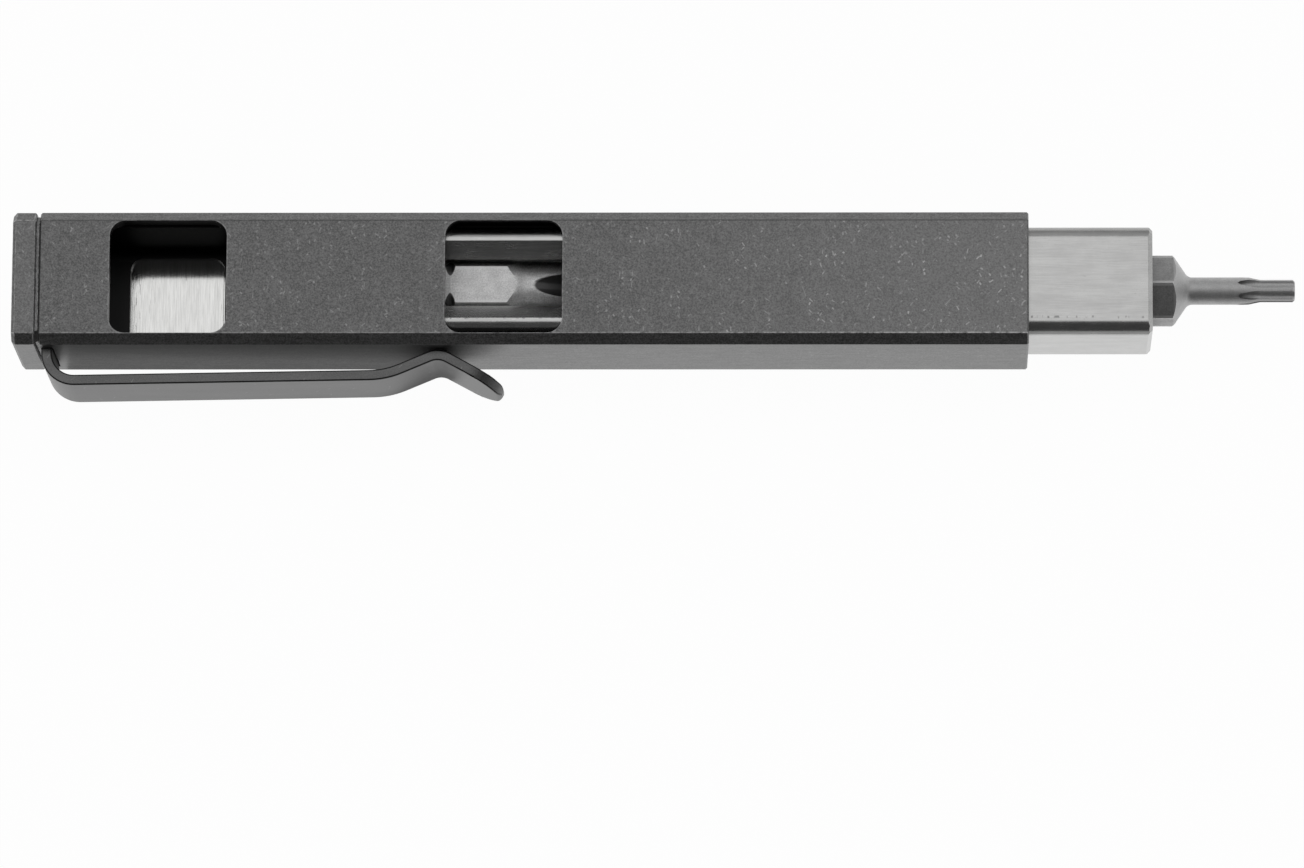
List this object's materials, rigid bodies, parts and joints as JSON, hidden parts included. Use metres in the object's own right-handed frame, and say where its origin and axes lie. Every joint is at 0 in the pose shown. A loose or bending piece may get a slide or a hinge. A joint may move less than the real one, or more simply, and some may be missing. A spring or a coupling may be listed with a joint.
{
  "type": "pocket screwdriver",
  "caption": "Pocket screwdriver: windowed square tube handle with end cap and spring clip, a sliding steel bar with a hex socket in its nose, and spare bits stored in line.",
  "frame": {"origin": "middle of the tube's back face, on which the tool lies", "axes": "+X runs along the tool from the end cap to the bit's tip, +Z points out of the windowed face, and the pocket clip is on the -Y side"},
  "size_m": [0.1265, 0.0175, 0.0133],
  "materials": {
    "stonewashed_metal": "dark grey, tumbled, with fine pale scuffs",
    "clip_metal": "dark grey, fine satin",
    "dark_screw": "blackened",
    "plain_steel": "machined",
    "magnet_plating": "bright nickel plating",
    "brushed_plate": "brushed across the tool",
    "milled_steel": "milled, with fine lines along the bar",
    "bit_steel": "blasted matte"
  },
  "bodies": {
    "handle": {"body_tube": "stonewashed_metal", "end_cap": "stonewashed_metal", "cap_screw": "dark_screw", "cap_dowel": "plain_steel", "end_plug": "plain_steel", "plug_screws": "dark_screw", "stop_block": "plain_steel", "stop_magnets": "magnet_plating", "stop_screws": "dark_screw", "window_backplate": "brushed_plate"},
    "clip": {"pocket_clip": "clip_metal"},
    "bar": {"inner_bar": "milled_steel", "socket_magnet": "magnet_plating", "storage_magnet": "magnet_plating"},
    "nose_bit": {"star_bit": "bit_steel"},
    "rear_bit": {"cross_bit": "bit_steel"},
    "front_bit": {"flat_bit": "bit_steel"}
  },
  "joints": [
    {"name": "bar_slide", "type": "slide", "parent": "handle", "child": "bar", "axis": [1, 0, 0], "range_m": [0, 0.07]},
    {"name": "nose_bit_pull", "type": "slide", "parent": "bar", "child": "nose_bit", "axis": [1, 0, 0], "range_m": [0, 0.012]},
    {"name": "rear_bit_pull", "type": "slide", "parent": "bar", "child": "rear_bit", "axis": [-1, 0, 0], "range_m": [0, 0.024]},
    {"name": "front_bit_pull", "type": "slide", "parent": "bar", "child": "front_bit", "axis": [-1, 0, 0], "range_m": [0, 0.024]},
    {"name": "clip_flex", "type": "hinge", "parent": "handle", "child": "clip", "pos_m": [-0.04807, -0.0043, 0.00667], "axis": [0, 0, -1], "range_deg": [0, 2.1], "stiffness_Nm_per_rad": 2}
  ],
  "couplings": [
    {"joint": "front_bit_pull", "follows": "rear_bit_pull", "ratio": 1}
  ]
}
